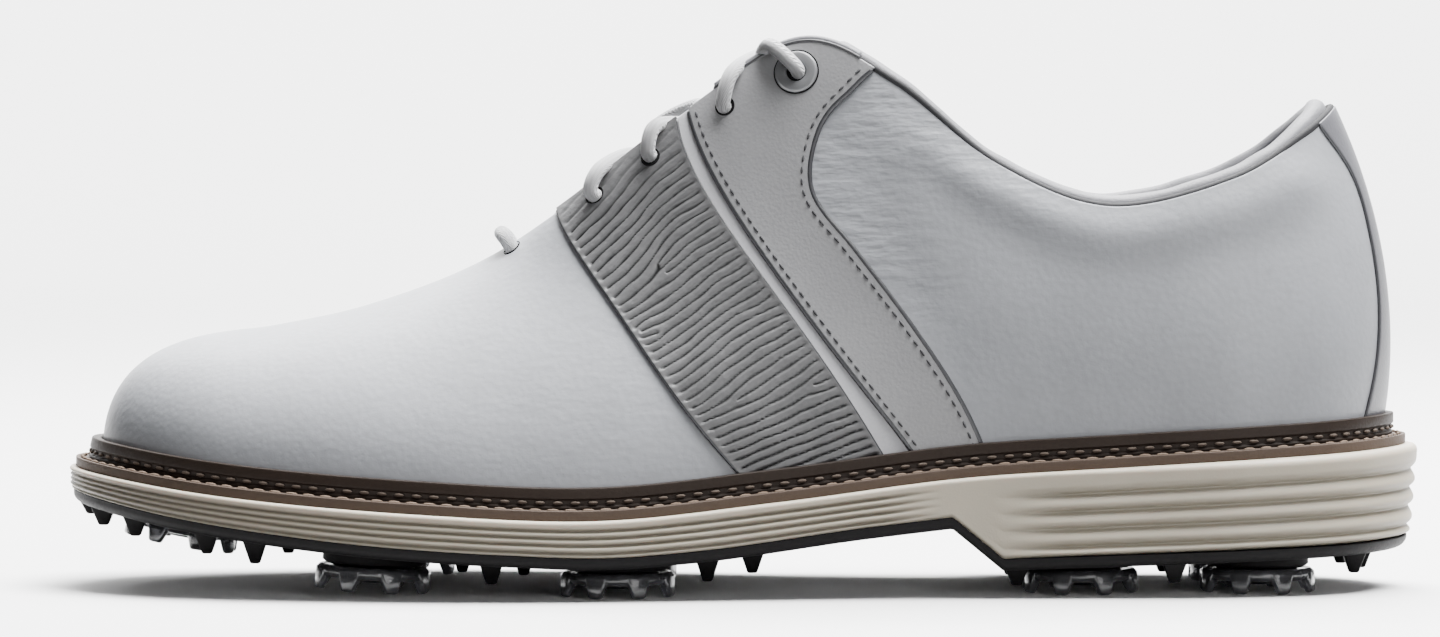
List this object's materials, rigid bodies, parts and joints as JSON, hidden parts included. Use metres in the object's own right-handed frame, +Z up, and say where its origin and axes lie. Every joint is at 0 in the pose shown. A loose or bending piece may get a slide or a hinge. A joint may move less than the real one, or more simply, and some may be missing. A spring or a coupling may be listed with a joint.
{
  "type": "golf shoe",
  "caption": "Classic saddle golf shoe with a welted sole, embossed side band, padded collar, laced throat and twist-lock soft cleats.",
  "frame": {"origin": "centre of the footprint's box, on the ground under the cleats", "axes": "+X from toe to heel, +Y towards the inner (medial) side of this left shoe, +Z up"},
  "size_m": [0.308, 0.1063, 0.1251],
  "materials": {
    "outsole": "black moulded rubber, satin",
    "receptacle": "dark moulded insert",
    "cleat_core": "dark grey moulded urethane",
    "cleat_claws": "clear urethane, slightly smoky",
    "midsole": "cream moulded foam, satin",
    "shank": "spring steel",
    "cork": "ground cork filler",
    "welt": "dark brown leather, edge dressed",
    "storm_welt": "dark brown leather strip",
    "thread": "waxed thread",
    "board": "leather board",
    "footbed": "grey textile over foam",
    "white_leather": "soft pebbled leather, semi-matt",
    "backer": "cotton backer",
    "puff": "thermoplastic stiffener",
    "saddle": "grey embossed leather, satin",
    "stripe": "smooth white leather",
    "facing": "smooth grey leather, satin",
    "foam": "soft foam",
    "lining": "light grey knitted lining",
    "collar": "soft light grey leather, padded",
    "heel_strip": "smooth grey leather, satin",
    "tongue": "soft light grey padded leather",
    "eyelet": "grey anodised ring",
    "lace": "round waxed cord, light grey",
    "aglet": "clear film tip"
  },
  "bodies": {
    "shoe": {"outsole": "outsole", "cleat_receptacles": "receptacle", "midsole": "midsole", "shank": "shank", "cork_filler": "cork", "welt": "welt", "storm_welt": "storm_welt", "welt_stitching": "thread", "insole_board": "board", "footbed": "footbed", "vamp": "white_leather", "vamp_backer": "backer", "toe_puff": "puff", "saddle_lateral": "saddle", "saddle_medial": "saddle", "stripe_lateral": "stripe", "stripe_medial": "stripe", "facing_lateral": "facing", "facing_medial": "facing", "facing_thread": "thread", "quarter_lateral": "white_leather", "quarter_medial": "white_leather", "quarter_foam_lateral": "foam", "quarter_foam_medial": "foam", "heel_counter": "puff", "heel_strip": "heel_strip", "collar_roll": "collar", "front_lining": "lining", "heel_lining": "lining", "ring_eyelets": "eyelet", "lace": "lace", "aglets": "aglet"},
    "tongue": {"tongue": "tongue"},
    "cleat_1": {"cleat_1_core": "cleat_core", "cleat_1_claws": "cleat_claws"},
    "cleat_2": {"cleat_2_core": "cleat_core", "cleat_2_claws": "cleat_claws"},
    "cleat_3": {"cleat_3_core": "cleat_core", "cleat_3_claws": "cleat_claws"},
    "cleat_4": {"cleat_4_core": "cleat_core", "cleat_4_claws": "cleat_claws"},
    "cleat_5": {"cleat_5_core": "cleat_core", "cleat_5_claws": "cleat_claws"},
    "cleat_6": {"cleat_6_core": "cleat_core", "cleat_6_claws": "cleat_claws"},
    "cleat_7": {"cleat_7_core": "cleat_core", "cleat_7_claws": "cleat_claws"},
    "cleat_8": {"cleat_8_core": "cleat_core", "cleat_8_claws": "cleat_claws"},
    "cleat_9": {"cleat_9_core": "cleat_core", "cleat_9_claws": "cleat_claws"}
  },
  "joints": [
    {"name": "tongue_flex", "type": "hinge", "parent": "shoe", "child": "tongue", "pos_m": [-0.0605, 0, 0.062], "axis": [0, 1, 0], "range_deg": [0, 8]},
    {"name": "cleat_1_twist", "type": "hinge", "parent": "shoe", "child": "cleat_1", "pos_m": [-0.129, 0.005, 0.0093], "axis": [0.1908, 0, 0.9816], "range_deg": [0, 60]},
    {"name": "cleat_2_twist", "type": "hinge", "parent": "shoe", "child": "cleat_2", "pos_m": [-0.083, -0.029, 0.0012], "axis": [0.061, 0, 0.9981], "range_deg": [0, 60]},
    {"name": "cleat_3_twist", "type": "hinge", "parent": "shoe", "child": "cleat_3", "pos_m": [-0.08, 0.03, 0.0012], "axis": [0.061, 0, 0.9981], "range_deg": [0, 60]},
    {"name": "cleat_4_twist", "type": "hinge", "parent": "shoe", "child": "cleat_4", "pos_m": [-0.028, -0.031, 0], "axis": [0, 0, 1], "range_deg": [0, 60]},
    {"name": "cleat_5_twist", "type": "hinge", "parent": "shoe", "child": "cleat_5", "pos_m": [-0.028, 0.027, 0], "axis": [0, 0, 1], "range_deg": [0, 60]},
    {"name": "cleat_6_twist", "type": "hinge", "parent": "shoe", "child": "cleat_6", "pos_m": [0.076, -0.019, 0], "axis": [0, 0, 1], "range_deg": [0, 60]},
    {"name": "cleat_7_twist", "type": "hinge", "parent": "shoe", "child": "cleat_7", "pos_m": [0.076, 0.018, 0], "axis": [0, 0, 1], "range_deg": [0, 60]},
    {"name": "cleat_8_twist", "type": "hinge", "parent": "shoe", "child": "cleat_8", "pos_m": [0.116, -0.017, 0], "axis": [0, 0, 1], "range_deg": [0, 60]},
    {"name": "cleat_9_twist", "type": "hinge", "parent": "shoe", "child": "cleat_9", "pos_m": [0.116, 0.017, 0], "axis": [0, 0, 1], "range_deg": [0, 60]}
  ]
}
